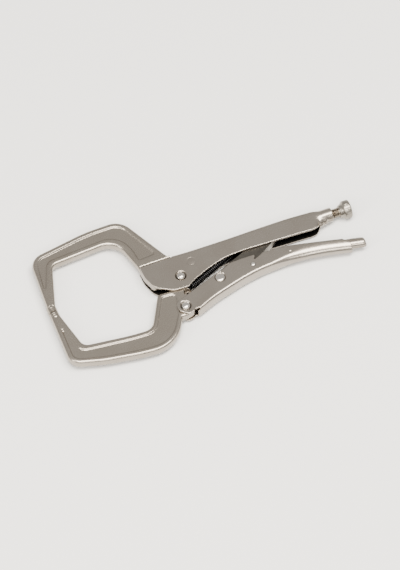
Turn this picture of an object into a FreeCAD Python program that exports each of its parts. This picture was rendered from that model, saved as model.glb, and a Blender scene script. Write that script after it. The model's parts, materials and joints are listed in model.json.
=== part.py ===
import FreeCAD, Part
import math
import os

import Sketcher

# Locking C-clamp pliers, lying on their side.
# X runs along the handle towards the adjusting screw, Y towards the fixed jaw,
# and Z along the rivets. The plan origin is the jaw pivot and the mid-plane is Z = 0
# while modelling; every sub-part is then lifted by half the knob's diameter, so the
# lowest point of the tool stands on Z = 0, and moved in plan to the middle of its box.

SIZES = {
    # sheet-metal handles
    "handle_width": 12.4,
    "sheet": 1.7,
    "bend_radius": 2.8,
    # forged jaws
    "jaw_thickness": 8.2,
    "jaw_edge_radius": 1.4,
    "panel_depth": 0.9,
    "head_radius": 8.6,
    "head_clearance": 0.45,
    # pivots, in plan
    "handle_pivot_x": -7.2,
    "handle_pivot_y": -30.8,
    "link_pivot_x": 31.0,
    "link_pivot_y": -13.5,
    "lever_pivot_x": 62.3,
    "lever_pivot_y": -11.4,
    "fixing_pin_x": 13.8,
    "fixing_pin_y": 10.8,
    "hook_hole_x": 0.0,
    "hook_hole_y": -17.0,
    # rivets
    "rivet_radius": 3.5,
    "rivet_fit": 0.05,
    "rivet_head_radius": 4.3,
    "dish_radius": 5.3,
    "dish_depth": 1.0,
    "head_rise": 1.5,
    "pin_head_rise": 0.8,
    "lever_pin_radius": 1.6,
    "lever_pin_head_radius": 2.4,
    "fixing_pin_radius": 3.8,
    # inner pieces
    "link_width": 7.8,
    "link_sheet": 1.8,
    "lever_width": 8.0,
    "lever_sheet": 1.5,
    # adjusting screw
    "screw_y": 17.0,
    "screw_radius": 4.3,
    "screw_fit": 0.05,
    "tube_radius": 6.2,
    "tube_start": 121.0,
    "tube_end": 145.4,
    "knob_radius": 8.1,
    # main spring
    "coil_radius": 2.6,
    "wire_radius": 0.5,
    "coil_pitch": 1.75,
    "coil_turns": 30.0,
    # placement of the whole tool
    "lift": 8.1,
    "shift_x": -20.96,
    "shift_y": -5.26,
}

doc = FreeCAD.newDocument("LockingPliers")
sheet = doc.addObject("Spreadsheet::Sheet", "Sizes")
for row, (alias, value) in enumerate(SIZES.items(), start=1):
    sheet.set("A%d" % row, alias)
    sheet.set("B%d" % row, str(value))
    sheet.setAlias("B%d" % row, alias)
doc.recompute()

SUBPARTS = []


def size(alias):
    """A driving dimension, read from the sheet."""
    return float(sheet.get(alias))


# ---------------------------------------------------------------- building blocks

def new_body(label, x="0", y="0"):
    """A body whose own origin is at plan position x, y, given as sheet expressions."""
    body = doc.addObject("PartDesign::Body", label)
    body.Label = label
    body.setExpression("Placement.Base.x", "(%s + Sizes.shift_x) * 1mm" % x)
    body.setExpression("Placement.Base.y", "(%s + Sizes.shift_y) * 1mm" % y)
    body.setExpression("Placement.Base.z", "Sizes.lift * 1mm")
    SUBPARTS.append(body)
    return body


def sketch_on(body, name, role="XY_Plane", offset=0.0):
    """A sketch on one of the body's own origin planes, moved along its normal."""
    sketch = body.newObject("Sketcher::SketchObject", name)
    plane = [f for f in body.Origin.OriginFeatures if f.Role == role][0]
    sketch.AttachmentSupport = [(plane, "")]
    sketch.MapMode = "FlatFace"
    sketch.AttachmentOffset = FreeCAD.Placement(
        FreeCAD.Vector(0, 0, offset), FreeCAD.Rotation())
    return sketch


def vector(x, y):
    return FreeCAD.Vector(x, y, 0)


def rounded_edges(corners):
    """Lines and tangent arcs of a closed outline, from (x, y, corner radius) corners."""
    edges = []
    count = len(corners)
    joints = []
    for i, (x, y, radius) in enumerate(corners):
        here = vector(x, y)
        before = vector(*corners[i - 1][:2])
        after = vector(*corners[(i + 1) % count][:2])
        back = (before - here).normalize()
        ahead = (after - here).normalize()
        if radius == 0:
            joints.append((here, here, None))
            continue
        half = back.getAngle(ahead) / 2
        reach = radius / math.tan(half)
        centre_way = (back + ahead).normalize()
        middle = here + centre_way * (radius / math.sin(half) - radius)
        joints.append((here + back * reach, here + ahead * reach, middle))
    for i, (start, end, middle) in enumerate(joints):
        if middle is not None:
            edges.append(Part.Arc(start, middle, end))
        following = joints[(i + 1) % count][0]
        if (following - end).Length > 1e-6:
            edges.append(Part.LineSegment(end, following))
    return edges


def draw_outline(sketch, corners):
    for edge in rounded_edges(corners):
        sketch.addGeometry(edge)


def draw_circle(sketch, x, y, radius):
    """A circle whose centre and radius are held by expressions."""
    at = vector(*[evaluate(v) for v in (x, y)])
    circle = sketch.addGeometry(Part.Circle(at, FreeCAD.Vector(0, 0, 1), evaluate(radius)))
    for kind, value, expression in (("DistanceX", at.x, x), ("DistanceY", at.y, y)):
        index = sketch.addConstraint(Sketcher.Constraint(kind, -1, 1, circle, 3, value))
        sketch.setExpression("Constraints[%d]" % index, "(%s) * 1mm" % expression)
    index = sketch.addConstraint(Sketcher.Constraint("Radius", circle, evaluate(radius)))
    sketch.setExpression("Constraints[%d]" % index, "(%s) * 1mm" % radius)


def evaluate(expression):
    """The number that a sheet expression gives."""
    return float(sheet.evalExpression(expression))


def pad(body, sketch, name, length, symmetric=True):
    feature = body.newObject("PartDesign::Pad", name)
    feature.Profile = sketch
    feature.SideType = "Symmetric" if symmetric else "One side"
    feature.setExpression("Length", "(%s) * 1mm" % length)
    doc.recompute()
    return feature


def pocket(body, sketch, name, length, symmetric=True, reverse=False, taper=0.0):
    """A pocket that has to take material away."""
    before = body.Shape.Volume
    feature = body.newObject("PartDesign::Pocket", name)
    feature.Profile = sketch
    feature.SideType = "Symmetric" if symmetric else "One side"
    feature.Reversed = reverse
    feature.TaperAngle = taper
    feature.setExpression("Length", "(%s) * 1mm" % length)
    doc.recompute()
    if not body.Shape.Volume < before - 1e-3:
        raise RuntimeError("%s cuts nothing" % name)
    return feature


def edge_names(shape, wanted):
    return ["Edge%d" % i for i, edge in enumerate(shape.Edges, start=1) if wanted(edge)]


def round_edges(body, name, radius, wanted):
    """A fillet on the edges of the body's tip that answer a test."""
    base = body.Tip
    feature = body.newObject("PartDesign::Fillet", name)
    feature.Base = (base, edge_names(base.Shape, wanted))
    feature.setExpression("Radius", "(%s) * 1mm" % radius)
    doc.recompute()
    return feature


def at_height(edge, height):
    """Whether an edge lies wholly in the plane Z = height or Z = -height."""
    box = edge.BoundBox
    return box.ZLength < 1e-4 and abs(abs(box.ZMin) - height) < 1e-4


def drill(body, name, x, y, radius):
    """A round hole through the whole thickness."""
    sketch = sketch_on(body, name + "Sketch")
    draw_circle(sketch, x, y, radius)
    return pocket(body, sketch, name, "Sizes.handle_width * 2")


def both_faces(body, name, corners_or_circle, surface, depth, taper=0.0):
    """The same shallow recess cut into the upper and lower faces."""
    for side, label in ((1, "Upper"), (-1, "Lower")):
        sketch = sketch_on(body, name + label + "Sketch", offset=side * surface)
        if isinstance(corners_or_circle, list):
            draw_outline(sketch, corners_or_circle)
        else:
            draw_circle(sketch, *corners_or_circle)
        pocket(body, sketch, name + label, depth, symmetric=False,
               reverse=side < 0, taper=taper)


def rivet_dish(body, name, x, y):
    """The pressed dish that a rivet head sits in, on both walls."""
    both_faces(body, name, (x, y, "Sizes.dish_radius"), size("handle_width") / 2,
               "Sizes.dish_depth", taper=-38.0)


# ---------------------------------------------------------------- fixed half

def make_upper_handle():
    """Folded channel with a spine, two walls and a round threaded end."""
    body = new_body("upper_handle")
    half = size("handle_width") / 2
    spine_start = -0.3
    outline = [
        (-30.0, 20.7, 0.8), (spine_start, 21.5, 0), (spine_start, 22.3, 0), (50, 22.6, 300),
        (83, 23.5, 300), (112, 23.7, 150), (126.5, 23.0, 0), (126.5, 9.0, 0), (119, 4.3, 8),
        (62, 5.5, 90), (42, 4.3, 60), (24, -1.7, 60), (10, -8.0, 40), (2.6, -12.8, 6),
        (-10, -12.6, 16), (-25.0, -4.6, 15), (-29.8, 9.0, 25),
    ]
    sketch = sketch_on(body, "UpperWallSketch")
    draw_outline(sketch, outline)
    pad(body, sketch, "UpperWall", "Sizes.handle_width")
    round_edges(body, "UpperSpineBend", "Sizes.bend_radius",
                lambda e: at_height(e, half) and e.BoundBox.YMin > 22.2)
    inside = [
        (-45, -25, 0), (-45, 35, 0), (spine_start, 35, 0), (spine_start, 20.6, 0),
        (50, 20.9, 300), (83, 21.8, 300), (112, 22.0, 150), (122.5, 21.6, 1), (122.5, -25, 0),
    ]
    sketch = sketch_on(body, "UpperInsideSketch")
    draw_outline(sketch, inside)
    pocket(body, sketch, "UpperInside", "Sizes.handle_width - 2 * Sizes.sheet")

    # round end that carries the thread, with the folded seam under it
    sketch = sketch_on(body, "TubeSketch", "YZ_Plane", size("tube_start"))
    draw_circle(sketch, "Sizes.screw_y", "0", "Sizes.tube_radius")
    pad(body, sketch, "Tube", "Sizes.tube_end - Sizes.tube_start", symmetric=False)
    seam = [(128, 13, 0), (128, 10.9, 1), (132.5, 9.6, 2), (139.5, 9.6, 2), (144.0, 13, 0)]
    sketch = sketch_on(body, "SeamSketch")
    draw_outline(sketch, seam)
    pad(body, sketch, "Seam", "5.4")
    round_edges(body, "TubeRim", "0.8",
                lambda e: abs(e.BoundBox.XMin - size("tube_end")) < 1e-3
                and e.BoundBox.XLength < 1e-3)
    sketch = sketch_on(body, "BoreSketch", "YZ_Plane", size("tube_start") - 2)
    draw_circle(sketch, "Sizes.screw_y", "0", "Sizes.screw_radius + Sizes.screw_fit")
    pocket(body, sketch, "Bore", "30", symmetric=False, reverse=True)

    # tab that the rear hook of the spring is caught on
    tab = [(63.5, 21.6, 0), (63.5, 16.2, 1.2), (69.5, 14.4, 1.2), (72.5, 21.9, 0)]
    sketch = sketch_on(body, "SpringTabSketch")
    draw_outline(sketch, tab)
    pad(body, sketch, "SpringTab", "1.6")
    drill(body, "SpringTabHole", "67.5", "17.6", "1.0")

    rivet_dish(body, "JawRivetDish", "0", "0")
    drill(body, "JawRivetHole", "0", "0", "Sizes.rivet_radius")
    drill(body, "FixingPinHole", "Sizes.fixing_pin_x", "Sizes.fixing_pin_y",
          "Sizes.fixing_pin_radius")
    return body


def make_upper_jaw():
    """Forged fixed jaw: a bent arm with raised rims, and a root between the walls."""
    body = new_body("upper_jaw")
    half = size("jaw_thickness") / 2
    outline = [
        (-0.9, 18.0, 0), (-0.9, 22.8, 0), (-4.2, 28.2, 12), (-27.2, 74.9, 18),
        (-60, 74.0, 150), (-114.4, 64.6, 14), (-118.7, 12.4, 0), (-111.2, 12.4, 0),
        (-98.4, 51.2, 7), (-38.6, 55.9, 17),
        (-30.7, 24.4, 0), (-29.4, 10, 14), (-25.6, -1.4, 4), (-15.5, -3.2, 2), (-9, 3, 0),
        (9, 6.6, 0), (21.5, 8.4, 2), (21.5, 20.5, 0),
    ]
    sketch = sketch_on(body, "UpperJawSketch")
    draw_outline(sketch, outline)
    pad(body, sketch, "UpperJawArm", "Sizes.jaw_thickness")
    round_edges(body, "UpperJawEdges", "Sizes.jaw_edge_radius",
                lambda e: at_height(e, half) and (
                    e.BoundBox.YMin > 22.7 or e.BoundBox.XMax < -98 and e.BoundBox.YMax > 13))
    panel = [
        (-28.6, 29.0, 2.5), (-11.6, 30.4, 2.5), (-29.6, 70.6, 14), (-60, 69.9, 150),
        (-110.0, 61.0, 10), (-114.5, 32, 0.6), (-111.2, 30, 0.6), (-100.8, 55.3, 9),
        (-37.4, 59.8, 18), (-30.6, 42, 30),
    ]
    both_faces(body, "UpperPanel", panel, half, "Sizes.panel_depth")

    # thicker root that fills the channel, cleared for the round head of the lower jaw
    root = [
        (-29.0, 19.5, 0), (-28.6, 10, 14), (-25.0, -0.6, 4), (-15.5, -2.4, 2), (-9, 3.6, 0),
        (9, 7.4, 0), (20.8, 9.2, 2), (20.8, 19.8, 0),
    ]
    sketch = sketch_on(body, "UpperRootSketch")
    draw_outline(sketch, root)
    pad(body, sketch, "UpperRoot", "Sizes.handle_width - 2 * Sizes.sheet")
    drill(body, "HeadClearance", "0", "0", "Sizes.head_radius + Sizes.head_clearance")
    drill(body, "FixingPinSeat", "Sizes.fixing_pin_x", "Sizes.fixing_pin_y",
          "Sizes.fixing_pin_radius")
    add_tip_pad(body, "UpperPad", 6.15, 13.0)
    return body


def add_tip_pad(body, name, low, high):
    """Round clamping pad at a jaw's tip, with its axis across the jaw's opening."""
    sketch = sketch_on(body, name + "Sketch", "XZ_Plane", -high)
    draw_circle(sketch, "-114.9", "0", "4.35")
    pad(body, sketch, name, "%s" % (high - low), symmetric=False)


def make_lower_jaw():
    """Forged moving jaw: arm with raised rims, round head on the jaw pivot and a heel."""
    body = new_body("lower_jaw")
    half = size("jaw_thickness") / 2
    outline = [
        (-5, -3, 0), (-11.5, -9.3, 4), (-25.2, -9.5, 5), (-42.2, -41.2, 11),
        (-62, -40.7, 200), (-103.4, -36.1, 7), (-111.0, 5.85, 1.2), (-119.3, 5.85, 1.2),
        (-120.9, -50.5, 10), (-92, -58.5, 120), (-60, -63.3, 120), (-28.0, -65.3, 33),
        (-13.4, -39.4, 0), (-8.0, -39.3, 0), (-0.5, -36.6, 4), (1.2, -28.5, 6),
        (4.4, -17.5, 6), (2.2, -10.2, 3), (5.0, -6.2, 0),
    ]
    sketch = sketch_on(body, "LowerJawSketch")
    draw_outline(sketch, outline)
    pad(body, sketch, "LowerJawArm", "Sizes.jaw_thickness")
    round_edges(body, "LowerJawEdges", "Sizes.jaw_edge_radius",
                lambda e: at_height(e, half) and e.BoundBox.XMax < -11.0
                and e.BoundBox.YMax < 5.8)
    sketch = sketch_on(body, "HeadSketch")
    draw_circle(sketch, "0", "0", "Sizes.head_radius")
    pad(body, sketch, "Head", "Sizes.jaw_thickness")
    panel = [
        (-9.5, -13.6, 5), (-23.6, -13.2, 4), (-40.6, -45.4, 14), (-62, -45.0, 200),
        (-107.0, -40.6, 7), (-114.6, -16, 0.6), (-116.6, -16, 0.6), (-117.0, -47.4, 8),
        (-92, -54.4, 120), (-60, -59.2, 120), (-30.4, -60.9, 29), (-15.6, -36.5, 3),
    ]
    both_faces(body, "LowerPanel", panel, half, "Sizes.panel_depth")
    both_faces(body, "HookSpot", ("Sizes.hook_hole_x", "Sizes.hook_hole_y", "4.3"),
               half, "2.7", taper=-12.0)
    both_faces(body, "HookWay", [(-1.2, -16.3, 0), (1.2, -17.7, 0), (5.6, -10.4, 0),
                                 (3.2, -9.0, 0)], half, "2.7")
    drill(body, "HookHole", "Sizes.hook_hole_x", "Sizes.hook_hole_y", "1.3")
    drill(body, "JawPivotHole", "0", "0", "Sizes.rivet_radius + Sizes.rivet_fit")
    drill(body, "HandlePivotHole", "Sizes.handle_pivot_x", "Sizes.handle_pivot_y",
          "Sizes.rivet_radius + Sizes.rivet_fit")
    add_tip_pad(body, "LowerPad", -2.0, 5.85)
    return body


# ---------------------------------------------------------------- moving half

def make_lower_handle():
    """Folded channel, open towards the upper handle, with round ears on its rivet."""
    body = new_body("lower_handle")
    half = size("handle_width") / 2
    spine_start = 4.6
    outline = [
        (spine_start, -38.1, 0), (20, -31.9, 200),
        (35, -27.0, 300), (52, -22.2, 200), (72, -18.3, 60), (86, -17.7, 100),
        (103, -18.4, 100), (122, -20.4, 150), (144.2, -25.2, 0), (148.0, -19.8, 4.5),
        (143.2, -14.0, 1.5), (120, -8.6, 300), (100, -4.2, 90), (86, -2.7, 60),
        (74.5, -2.7, 6), (64.6, -7.2, 1), (67.5, -2.1, 1), (54, -2.2, 60),
        (43.6, -2.9, 4), (36, -6.8, 20),
        (29, -8.7, 40), (spine_start, -18.0, 0),
    ]
    sketch = sketch_on(body, "LowerWallSketch")
    draw_outline(sketch, outline)
    pad(body, sketch, "LowerWall", "Sizes.handle_width")
    round_edges(body, "LowerSpineBend", "Sizes.bend_radius",
                lambda e: at_height(e, half) and e.BoundBox.YMax < -17.5
                and e.BoundBox.XMax < 144.5 and e.BoundBox.XLength > 1)
    sketch = sketch_on(body, "EarSketch")
    draw_circle(sketch, "Sizes.handle_pivot_x", "Sizes.handle_pivot_y", "8.1")
    pad(body, sketch, "Ears", "Sizes.handle_width")
    front = [(6.0, -17.5, 0), (-9.0, -23.2, 2), (-9.0, -30, 0), (-3, -37.3, 0), (6.0, -36.0, 0)]
    sketch = sketch_on(body, "FrontWallSketch")
    draw_outline(sketch, front)
    pad(body, sketch, "FrontWall", "Sizes.handle_width")
    inside = [
        (-25, -50, 0), (spine_start, -50, 0), (spine_start, -36.3, 0), (20, -30.1, 200),
        (35, -25.2, 300), (52, -20.4, 200), (72, -16.6, 60), (86, -16.0, 100),
        (103, -16.7, 100), (122, -18.7, 150), (152, -25.2, 0), (152, 8, 0), (40, 8, 0),
        (-25, -8, 0),
    ]
    sketch = sketch_on(body, "LowerInsideSketch")
    draw_outline(sketch, inside)
    pocket(body, sketch, "LowerInside", "Sizes.handle_width - 2 * Sizes.sheet")
    rivet_dish(body, "HandleRivetDish", "Sizes.handle_pivot_x", "Sizes.handle_pivot_y")
    rivet_dish(body, "LinkRivetDish", "Sizes.link_pivot_x", "Sizes.link_pivot_y")
    for name, x, y, radius in (
            ("HandleRivetHole", "Sizes.handle_pivot_x", "Sizes.handle_pivot_y",
             "Sizes.rivet_radius"),
            ("LinkRivetHole", "Sizes.link_pivot_x", "Sizes.link_pivot_y", "Sizes.rivet_radius"),
            ("LeverPinHole", "Sizes.lever_pivot_x", "Sizes.lever_pivot_y",
             "Sizes.lever_pin_radius")):
        drill(body, name, x, y, radius)
    return body


def make_toggle_link():
    """Folded link from the lower handle's rivet to the tip of the adjusting screw."""
    body = new_body("toggle_link")
    outline = [
        (24.6, -12.8, 5), (30.0, -21.0, 5), (38.0, -17.2, 20), (58.0, -10.0, 40),
        (66.5, -6.2, 40), (84.0, 4.0, 20), (98.5, 13.0, 3), (95.8, 18.4, 3), (80.0, 14.4, 30),
        (56.0, 3.6, 30), (33.0, -6.2, 6),
    ]
    sketch = sketch_on(body, "LinkSketch")
    draw_outline(sketch, outline)
    pad(body, sketch, "LinkOutside", "Sizes.link_width")
    inside = [
        (15.0, -10.0, 0), (34.5, -23.0, 0), (38.0, -15.2, 6), (57.4, -8.2, 40),
        (65.6, -4.5, 40), (83.0, 5.6, 20), (92.5, 12.6, 2), (90.0, 26.0, 0),
    ]
    sketch = sketch_on(body, "LinkInsideSketch")
    draw_outline(sketch, inside)
    pocket(body, sketch, "LinkInside", "Sizes.link_width - 2 * Sizes.link_sheet")
    drill(body, "LinkHole", "Sizes.link_pivot_x", "Sizes.link_pivot_y",
          "Sizes.rivet_radius + Sizes.rivet_fit")
    return body


def make_release_lever():
    """Folded lever in the lower handle: cam hump under the link, and a closed tail."""
    body = new_body("release_lever")
    half = size("lever_width") / 2
    outline = [
        (58.4, -12.4, 1.2), (60.5, -16.0, 3), (66.5, -14.6, 3), (75, -11.6, 20), (103, -12.4, 80),
        (122, -14.9, 100), (140.5, -19.6, 20), (149, -22.0, 10), (161.0, -25.4, 4),
        (161.8, -16.0, 4), (146, -12.5, 60), (121, -9.9, 150), (100, -5.9, 90),
        (84, -4.6, 40), (72.5, -6.4, 6), (66, -10.0, 4), (62.6, -9.0, 2), (59.4, -10.6, 1),
    ]
    sketch = sketch_on(body, "LeverSketch")
    draw_outline(sketch, outline)
    pad(body, sketch, "LeverOutside", "Sizes.lever_width")
    round_edges(body, "LeverTail", "2.0",
                lambda e: at_height(e, half) and e.BoundBox.XMax > 150
                and e.CenterOfMass.y < -19.5 and e.CenterOfMass.x > 143)
    inside = [
        (50.0, -9.0, 0), (50.0, -30.0, 0), (146.5, -30.0, 0), (146.5, -15.2, 2),
        (121, -11.5, 150), (100, -7.5, 90), (84, -6.2, 40), (72, -8.2, 6), (66, -12.0, 2),
        (56.0, -9.6, 0),
    ]
    sketch = sketch_on(body, "LeverInsideSketch")
    draw_outline(sketch, inside)
    pocket(body, sketch, "LeverInside", "Sizes.lever_width - 2 * Sizes.lever_sheet")
    drill(body, "LeverHole", "Sizes.lever_pivot_x", "Sizes.lever_pivot_y",
          "Sizes.lever_pin_radius + Sizes.rivet_fit")
    return body


# ---------------------------------------------------------------- rivets and pins

def revolve(body, name, sketch, axis):
    feature = body.newObject("PartDesign::Revolution", name)
    feature.Profile = sketch
    feature.ReferenceAxis = (sketch, [axis])
    feature.Angle = 360.0
    doc.recompute()
    return feature


def make_rivet(label, x, y, shank, head, floor, rise):
    """Rivet with a domed head at each end; the domes stand on the dishes' floors."""
    body = new_body(label, x, y)
    rim = floor + 0.25
    crown = floor + rise

    flat = shank * 0.1

    def dome(side):
        mid_r = head * 0.55
        mid_z = crown - (crown - rim) * 0.55 ** 2
        return [vector(flat, side * crown), vector(mid_r, side * mid_z),
                vector(head, side * rim)]

    sketch = sketch_on(body, label + "_profile", "XZ_Plane")
    low, high = dome(-1), dome(1)
    sketch.addGeometry(Part.Arc(low[0], low[1], low[2]))
    sketch.addGeometry(Part.Arc(high[2], high[1], high[0]))
    for path in ([low[2], vector(head, -floor), vector(shank, -floor),
                  vector(shank, floor), vector(head, floor), high[2]],
                 [high[0], vector(0, crown), vector(0, -crown), low[0]]):
        for start, end in zip(path, path[1:]):
            sketch.addGeometry(Part.LineSegment(start, end))
    revolve(body, label + "_turned", sketch, "V_Axis")
    return body


def make_rivets():
    """The three pivot rivets, in dishes, and the small lever pin on the flat walls."""
    floor = size("handle_width") / 2 - size("dish_depth")
    for label, x, y in (
            ("jaw_pivot_rivet", "0", "0"),
            ("handle_pivot_rivet", "Sizes.handle_pivot_x", "Sizes.handle_pivot_y"),
            ("link_pivot_rivet", "Sizes.link_pivot_x", "Sizes.link_pivot_y")):
        make_rivet(label, x, y, size("rivet_radius"), size("rivet_head_radius"), floor,
                   size("head_rise"))
    make_rivet("lever_pivot_pin", "Sizes.lever_pivot_x", "Sizes.lever_pivot_y",
               size("lever_pin_radius"), size("lever_pin_head_radius"),
               size("handle_width") / 2, size("pin_head_rise"))


def make_fixing_pin():
    """Flush pin that holds the fixed jaw's root between the walls."""
    body = new_body("jaw_fixing_pin", "Sizes.fixing_pin_x", "Sizes.fixing_pin_y")
    sketch = sketch_on(body, "FixingPinSketch")
    draw_circle(sketch, "0", "0", "Sizes.fixing_pin_radius")
    pad(body, sketch, "FixingPin", "Sizes.handle_width - 0.1")
    return body


# ---------------------------------------------------------------- screw and spring

def make_adjusting_screw():
    """Adjusting screw: pointed inner end, shank through the tube, neck and knob."""
    body = new_body("adjusting_screw", "0", "Sizes.screw_y")
    radius = size("screw_radius")
    knob = size("knob_radius")
    profile = [
        (104.2, 0, 0), (104.2, 2.4, 0.6), (105.8, radius, 0.6), (152.0, radius, 0),
        (152.0, 5.2, 0.4), (153.8, 5.6, 0.6), (156.3, knob, 0.9), (161.6, knob, 1.2),
        (162.6, knob - 1.6, 1.0), (162.6, 0, 0),
    ]
    sketch = sketch_on(body, "ScrewProfile")
    draw_outline(sketch, profile)
    revolve(body, "ScrewTurned", sketch, "H_Axis")
    return body


def make_main_spring():
    """Tension spring from the moving jaw's neck to the tab inside the upper handle."""
    start = (6.4, -10.5)
    slope = 24.8
    body = new_body("main_spring", "%s" % start[0], "%s" % start[1])
    body.Placement = FreeCAD.Placement(body.Placement.Base,
                                       FreeCAD.Rotation(FreeCAD.Vector(0, 0, 1), slope))
    coil = size("coil_radius")
    sketch = sketch_on(body, "WireSketch")
    draw_circle(sketch, "0", "Sizes.coil_radius", "Sizes.wire_radius")
    helix = body.newObject("PartDesign::AdditiveHelix", "Coil")
    helix.Profile = sketch
    helix.ReferenceAxis = (sketch, ["H_Axis"])
    helix.Mode = "pitch-turns-angle"
    helix.setExpression("Pitch", "Sizes.coil_pitch * 1mm")
    helix.setExpression("Turns", "Sizes.coil_turns")
    doc.recompute()

    def to_body(x, y):
        """A plan point in the spring's own axes."""
        turn = math.radians(slope)
        dx, dy = x - start[0], y - start[1]
        return (dx * math.cos(turn) + dy * math.sin(turn),
                dy * math.cos(turn) - dx * math.sin(turn))

    length = size("coil_pitch") * size("coil_turns")
    hooks = (("RearHook", (length, coil), to_body(67.5, 17.6), 1.6),
             ("FrontHook", (0, coil), to_body(size("hook_hole_x"), size("hook_hole_y")), 2.2))
    for name, near, far, rise in hooks:
        ahead = math.atan2(far[1] - near[1], far[0] - near[0])
        reach = math.hypot(far[0] - near[0], far[1] - near[1])
        near_point = FreeCAD.Vector(near[0], near[1], 0)
        far_point = FreeCAD.Vector(far[0], far[1], -rise)
        up = FreeCAD.Rotation()
        flat = FreeCAD.Rotation(FreeCAD.Vector(0, 0, 1), math.degrees(ahead)).multiply(
            FreeCAD.Rotation(FreeCAD.Vector(0, 1, 0), 90))
        wire = size("wire_radius")
        run_start = FreeCAD.Vector(near[0], near[1], rise) - flat.multVec(
            FreeCAD.Vector(0, 0, wire * 0.9))
        for part, at, turn, long in (
                ("Riser", near_point, up, rise + wire * 0.8),
                ("Run", run_start, flat, reach + wire * 1.8),
                ("Drop", far_point, up, rise * 2 + wire * 0.8)):
            rod = body.newObject("PartDesign::AdditiveCylinder", name + part)
            rod.Radius = wire
            rod.Height = long
            rod.Placement = FreeCAD.Placement(at, turn)
            doc.recompute()
    return body


# ---------------------------------------------------------------- build and write

make_upper_handle()
make_upper_jaw()
make_lower_jaw()
make_lower_handle()
make_toggle_link()
make_release_lever()
make_rivets()
make_fixing_pin()
make_adjusting_screw()
make_main_spring()
doc.recompute()

for item in doc.Objects:
    if "Invalid" in item.State or "Error" in item.State:
        raise RuntimeError("%s failed: %s" % (item.Name, item.State))

os.makedirs("parts", exist_ok=True)
for body in SUBPARTS:
    shape = body.Shape
    if shape.isNull() or not shape.isValid() or len(shape.Solids) != 1:
        raise RuntimeError("%s has no single valid solid" % body.Label)
    shape.exportStep("parts/%s.step" % body.Label)
    box = shape.BoundBox
    print("%-20s %9.1f mm3  x %7.2f %7.2f  y %7.2f %7.2f  z %6.2f %6.2f" % (
        body.Label, shape.Volume, box.XMin, box.XMax, box.YMin, box.YMax, box.ZMin, box.ZMax))
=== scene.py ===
import json
import math

import bpy
import numpy as np
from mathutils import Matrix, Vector
from mathutils.geometry import delaunay_2d_cdt


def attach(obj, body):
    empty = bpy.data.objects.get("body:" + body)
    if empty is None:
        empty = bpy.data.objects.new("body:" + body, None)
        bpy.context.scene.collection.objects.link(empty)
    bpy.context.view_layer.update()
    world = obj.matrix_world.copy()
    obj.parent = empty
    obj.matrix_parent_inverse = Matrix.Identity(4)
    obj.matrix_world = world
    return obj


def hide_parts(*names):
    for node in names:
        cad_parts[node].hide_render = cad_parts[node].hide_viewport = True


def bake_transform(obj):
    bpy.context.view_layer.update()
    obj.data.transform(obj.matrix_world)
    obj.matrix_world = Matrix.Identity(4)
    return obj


# Locking C-clamp pliers lying on their side. Shapes are drawn in millimetres on the
# tool's own plan: the jaw rivet is the origin, X runs to the knob, Y to the fixed jaw
# and Z along the rivets, with the mid-plane of the tool at Z = 0.

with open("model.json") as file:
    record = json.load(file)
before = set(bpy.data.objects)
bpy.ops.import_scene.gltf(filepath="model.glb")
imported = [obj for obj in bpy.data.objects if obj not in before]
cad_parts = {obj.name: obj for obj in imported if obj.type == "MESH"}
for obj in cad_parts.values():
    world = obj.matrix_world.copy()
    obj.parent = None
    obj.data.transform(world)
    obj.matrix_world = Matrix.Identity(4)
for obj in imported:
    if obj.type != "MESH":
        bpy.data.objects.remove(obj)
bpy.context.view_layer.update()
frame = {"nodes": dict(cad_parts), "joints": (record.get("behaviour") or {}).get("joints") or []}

JOINTS = {joint["name"]: joint for joint in frame["joints"]}
ORIGIN = np.array(JOINTS["jaw_hinge"]["pos_m"])
MM = 0.001


def plan_point(joint_name):
    """A joint's position on the plan, in millimetres."""
    return (np.array(JOINTS[joint_name]["pos_m"]) - ORIGIN)[:2] / MM


JAW_PIVOT = np.zeros(2)
HANDLE_PIVOT = plan_point("handle_hinge")
LINK_PIVOT = plan_point("link_hinge")
LEVER_PIVOT = plan_point("lever_hinge")

FIXING_PIN = np.array((13.8, 10.8))
SPRING_TAB = (67.5, 17.6)
HOOK_HOLE = (0.0, -17.0)

HALF_WIDTH = 6.2
SHEET = 1.7
JAW_HALF = 4.1
PANEL_DEPTH = 1.0
RIM_RADIUS = 2.3
SCREW_Y = 17.0
THREAD_END = 152.0
TUBE_RADIUS = 6.2
TUBE_END = 145.4
LEVER_HALF = 4.0
LEVER_TAIL_TALL = 4.8


# ------------------------------------------------------------------ materials

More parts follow.
